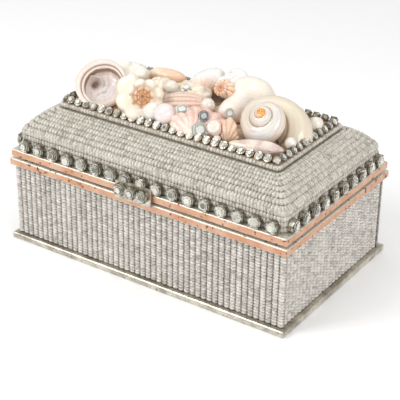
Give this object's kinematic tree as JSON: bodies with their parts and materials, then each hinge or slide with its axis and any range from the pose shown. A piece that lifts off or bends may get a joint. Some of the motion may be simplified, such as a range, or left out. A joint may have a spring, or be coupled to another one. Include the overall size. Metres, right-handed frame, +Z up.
{
  "type": "shell box",
  "caption": "Rectangular trinket box covered in bead strands, with coppered rims and a hinged lid that carries cup-set stones and a cluster of seashells and pearls.",
  "frame": {"origin": "centre of the bottom plate's underside", "axes": "+X along the long side to the right as seen from the clasp side, -Y towards the clasp side, +Z up"},
  "size_m": [0.2016, 0.1314, 0.1149],
  "materials": {
    "nickel": "worn nickel plating with dark specks",
    "copper": "brushed copper leaf, silvered at the edges, with brown tarnish spots",
    "clear_bead": "clear glass beads over a silver backing",
    "ivory_bead": "milky ivory glass beads",
    "board": "paper-covered board",
    "crystal": "cut crystal in silvered cups",
    "cream_shell": "satin natural shell",
    "pink_shell": "satin natural shell with pink bands",
    "white_shell": "satin natural shell",
    "nacre": "polished mother-of-pearl",
    "pearl": "lustrous pearl",
    "dark_gem": "smoky cut crystal"
  },
  "bodies": {
    "base": {"bottom_plate": "nickel", "box_body": "board", "beading_front": "clear_bead", "beading_back": "clear_bead", "beading_left": "clear_bead", "beading_right": "clear_bead", "base_rim": "copper", "hinge_leaf_base": "nickel", "hinge_pin": "nickel"},
    "lid": {"hinge_leaf_lid": "nickel", "lid_rim": "copper", "lid_shell": "board", "lid_beading": "ivory_bead", "top_tier": "board", "tier_beading": "ivory_bead", "crystal_chain": "crystal", "ledge_crystals_front": "crystal", "ledge_crystals_back": "crystal", "ledge_crystals_left": "crystal", "ledge_crystals_right": "crystal", "clasp_plate": "nickel", "clasp_crystals": "crystal", "gem_dark": "dark_gem", "gem_disc": "crystal", "gem_navette": "crystal", "gem_round": "crystal", "gem_small": "crystal", "pearl_back": "pearl", "pearl_baroque_front": "pearl", "pearl_baroque_right": "pearl", "pearl_centre": "pearl", "pearl_front_left": "pearl", "pearl_front_right": "pearl", "pearl_middle": "pearl", "pearl_ringed": "pearl", "pearl_small": "pearl", "shell_abalone": "pink_shell", "shell_cone_left": "cream_shell", "shell_cone_right": "cream_shell", "shell_cream": "cream_shell", "shell_half": "cream_shell", "shell_knobbed": "white_shell", "shell_leaf": "cream_shell", "shell_moon": "white_shell", "shell_mussel": "nacre", "shell_nodular": "pink_shell", "shell_olive": "pink_shell", "shell_ruffled": "white_shell", "shell_scallop_peach": "pink_shell", "shell_scallop_pink": "pink_shell", "shell_turban": "nacre"}
  },
  "joints": [
    {"name": "lid_hinge", "type": "hinge", "parent": "base", "child": "lid", "pos_m": [0, 0.0642, 0.05675], "axis": [-1, 0, 0], "range_deg": [0, 100]}
  ]
}
